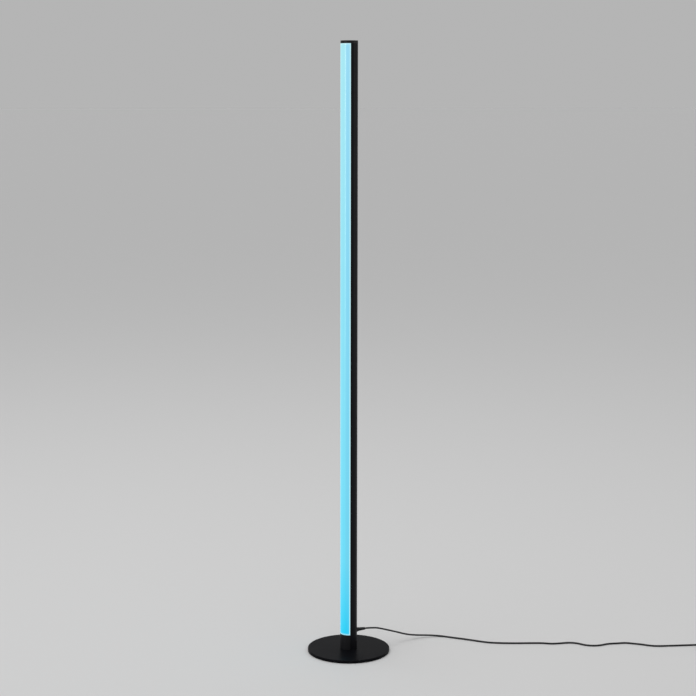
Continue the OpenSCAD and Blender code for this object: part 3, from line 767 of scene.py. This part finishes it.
def makeJacketEnd(values):
    low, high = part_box("cord_inlet")
    length, radius = high.y - low.y, lead["diameter"] / 2
    bm = bmesh.new()
    bmesh.ops.create_cone(bm, cap_ends=True, segments=values["sides"], radius1=radius, radius2=radius,
                          depth=length)
    ends = [face for face in bm.faces if len(face.verts) > 4]
    rims = [edge for face in ends for edge in face.edges]
    bmesh.ops.bevel(bm, geom=rims, offset=values["rim"], affect="EDGES", segments=3, profile=0.5,
                    material=-1)
    inner = [face for face in bm.faces if len(face.verts) > 4 and face.calc_center_median().z > 0]
    bmesh.ops.inset_region(bm, faces=inner, thickness=values["wall"], depth=-values["coreSunk"])
    place = Matrix.Translation((0, (low.y + high.y) / 2, lead["exitHeight"]))
    place = place @ Matrix.Rotation(math.radians(90), 4, "X")
    bmesh.ops.transform(bm, matrix=place, verts=bm.verts)
    return newPiece("jacketEnd", bm, jacket)


jacketEnd = makeJacketEnd(jacketCut)
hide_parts("cord_inlet")


# Strap round the wound lead
strap = {
    "width": 7 * mm,
    "thickness": 0.8 * mm,
    "corner": 1.6 * mm,
    "edge": 0.22 * mm,             # rounding of its woven edges
    "slack": (1.2 * mm, 0.3 * mm),     # round the turns, across and in height
    "flap": (6.4 * mm, 0.45 * mm),     # length and thickness of its free end, lying on top
    "flapCorner": 0.18 * mm,
    "flapNarrower": 0.4 * mm,
    "flapInside": 2.6 * mm,        # from the strap's side to the end's own tip
    "flapSunk": 0.05 * mm,
    "webbing": (0.014, 0.014, 0.016, 1),
    "pile": (0.040, 0.040, 0.043, 1),
    "weave": 0.62 * mm,
}


def strapWebbing(values):
    finish = Finish("strapWebbing", {"Specular IOR Level": 0.2}, wallTurn)
    x, y, z = finish.axes()
    across, around = x.ripple(values["weave"]), (y + z).ripple(values["weave"])
    weave = (across - around) * (across - around)
    fuzz = finish.noise(2600, detail=4, rough=0.7)
    finish.feed("Base Color", (fuzz * weave).between(0.1, 0.7).blend(values["webbing"], values["pile"]))
    finish.feed("Roughness", 0.86 + fuzz * 0.12)
    finish.bump(weave + fuzz * 0.7, 0.10 * mm)
    return finish


def reach(edge):                       # how far it goes across the strap
    return abs(edge.verts[0].co.x - edge.verts[1].co.x)


def strapBlock(size, corner, middle):
    made = bmesh.new()
    bmesh.ops.create_cube(made, size=1.0)
    bmesh.ops.scale(made, vec=size, verts=made.verts)
    long = [e for e in made.edges if reach(e) > size[0] / 2]
    bmesh.ops.bevel(made, geom=long, offset=corner, affect="EDGES", segments=6, profile=0.5, material=-1)
    bmesh.ops.translate(made, vec=middle, verts=made.verts)
    return made


def makeStrap(values):
    slackWide, slackTall = values["slack"]
    around = lead["diameter"] + 2 * values["thickness"]
    wide = (lead["coilTurns"] - 1) * lead["coilPitch"] + around + slackWide
    tall = lead["coilPitch"] + around + slackTall
    middleY = lead["coilMiddle"][1] - lead["coilOut"] + lead["coilTurns"] * lead["coilPitch"] / 2
    middle = Vector((lead["coilMiddle"][0], middleY, tall / 2))
    bm = strapBlock((values["width"], wide, tall), values["corner"], middle)
    ends = [f for f in bm.faces if abs(f.normal.x) > 0.9]
    bmesh.ops.delete(bm, geom=ends, context="FACES_ONLY")
    bmesh.ops.recalc_face_normals(bm, faces=bm.faces)
    bmesh.ops.solidify(bm, geom=bm.faces[:], thickness=values["thickness"])
    sides = [e for e in bm.edges if len(e.link_faces) == 2 and e.calc_face_angle() > sharpAngle
             and reach(e) < values["width"] / 2]
    bmesh.ops.bevel(bm, geom=sides, offset=values["edge"], affect="EDGES", segments=2, profile=0.5,
                    material=-1)
    length, thick = values["flap"]
    onTop = Vector((0, wide / 2 - length / 2 - values["flapInside"],
                    tall / 2 + thick / 2 - values["flapSunk"]))
    flap = strapBlock((values["width"] - values["flapNarrower"], length, thick), values["flapCorner"],
                      middle + onTop)
    flapMesh = bpy.data.meshes.new("flap")
    flap.to_mesh(flapMesh)
    flap.free()
    bm.from_mesh(flapMesh)
    bpy.data.meshes.remove(flapMesh)
    bmesh.ops.transform(bm, matrix=alongWall, verts=bm.verts)
    return newPiece("tieStrap", bm, strapWebbing(values))


tieStrap = makeStrap(strap)
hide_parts("coil_tie")


# Adapter: its shell, the rubber of its relief, and the pin sleeves
adapterBlack = (0.0085, 0.0085, 0.0095, 1)
adapter = {
    "shell": {"colour": adapterBlack, "roughness": 0.50, "grain": 1.6, "gloss": 0.3},
    "rubber": {"colour": lead["black"], "roughness": 0.48, "grain": 0.6, "gloss": 0.3},
    "sleeve": {"colour": adapterBlack, "roughness": 0.30, "grain": 0.3, "gloss": 0.3},
}
mouldedPlastic("adapterShell", adapter["shell"], "adapter_case", "adapter_face",
               jointAt=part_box("adapter_case")[1].z)
mouldedPlastic("adapterRubber", adapter["rubber"], "adapter_relief")
mouldedPlastic("sleeveNylon", adapter["sleeve"], "pin_sleeves")

print("lead, strap and adapter finished")


# Stage: floor, room and three soft boxes
stage = {
    "floorSize": 400.0,            # so large that it ends at the horizon
    "floorColour": grey(0.68),
    "floorRoughness": 0.6,
    "floorGloss": 0.25,
    "skyLow": grey(0.623),         # the room's tone at eye level, and overhead
    "skyHigh": grey(0.95),
    "skyTurns": (0.10, 0.75),      # share of the way up where one passes into the other
    "worldStrength": 0.74,
}
softBoxes = {                          # azimuth in degrees from the diffuser's facing, towards +X
    "keyLight": {"azimuth": 17, "distance": 3.0, "height": 1.25, "size": (0.24, 2.0), "aim": 0.9,
                 "power": 7, "spread": 110, "onFloor": False},
    "fillLight": {"azimuth": 146, "distance": 3.2, "height": 1.2, "size": (0.7, 1.9), "aim": 0.9,
                  "power": 3.6, "spread": 100, "onFloor": False},
    "topLight": {"azimuth": 330, "distance": 1.0, "height": 4.5, "size": (4.0, 4.0), "aim": 0.3,
                 "power": 66, "spread": 180, "onFloor": True},
}


def makeFloor(values):
    bm = bmesh.new()
    bmesh.ops.create_grid(bm, x_segments=1, y_segments=1, size=values["floorSize"] / 2)
    mesh = bpy.data.meshes.new("floor")
    bm.to_mesh(mesh)
    bm.free()
    floor = bpy.data.objects.new("floor", mesh)
    scene.collection.objects.link(floor)
    finish = Finish("floorPaint", {"Base Color": values["floorColour"], "Roughness": values["floorRoughness"],
                                   "Specular IOR Level": values["floorGloss"]})
    mesh.materials.append(finish.material)
    return floor


def allBut(obj):                       # what a light reaches, to keep its pool off the floor
    made = bpy.data.collections.new("allBut_" + obj.name)
    made.objects.link(obj)
    made.collection_objects[0].light_linking.link_state = "EXCLUDE"
    return made


def makeWorld(values):
    scene.world = bpy.data.worlds.new("world")
    scene.world.use_nodes = True
    tree = scene.world.node_tree
    wire = Wire(tree)
    upwards = wire.node("SeparateXYZ", sockets={"Vector": wire.node("TexCoord", output=0)}, output=2)
    tone = upwards.between(*values["skyTurns"]).blend(values["skyLow"], values["skyHigh"])
    background = tree.nodes["Background"]
    tree.links.new(tone.socket, background.inputs["Color"])
    background.inputs["Strength"].default_value = values["worldStrength"]


def softBox(name, values, lampOnly):
    around = math.radians(values["azimuth"])
    data = bpy.data.lights.new(name, "AREA")
    data.shape = "RECTANGLE"
    data.size, data.size_y = values["size"]
    data.energy = values["power"]
    data.spread = math.radians(values["spread"])
    obj = bpy.data.objects.new(name, data)
    obj.location = (math.sin(around) * values["distance"], -math.cos(around) * values["distance"],
                    values["height"])
    obj.rotation_mode = "QUATERNION"
    obj.rotation_quaternion = (Vector((0, 0, values["aim"])) - obj.location).to_track_quat("-Z", "Y")
    obj.visible_camera = False
    if not values["onFloor"]:
        obj.light_linking.receiver_collection = lampOnly
    scene.collection.objects.link(obj)


lampOnly = allBut(makeFloor(stage))
makeWorld(stage)
for name, values in softBoxes.items():
    softBox(name, values, lampOnly)
scene.view_settings.view_transform = "Standard"
print("stage set")
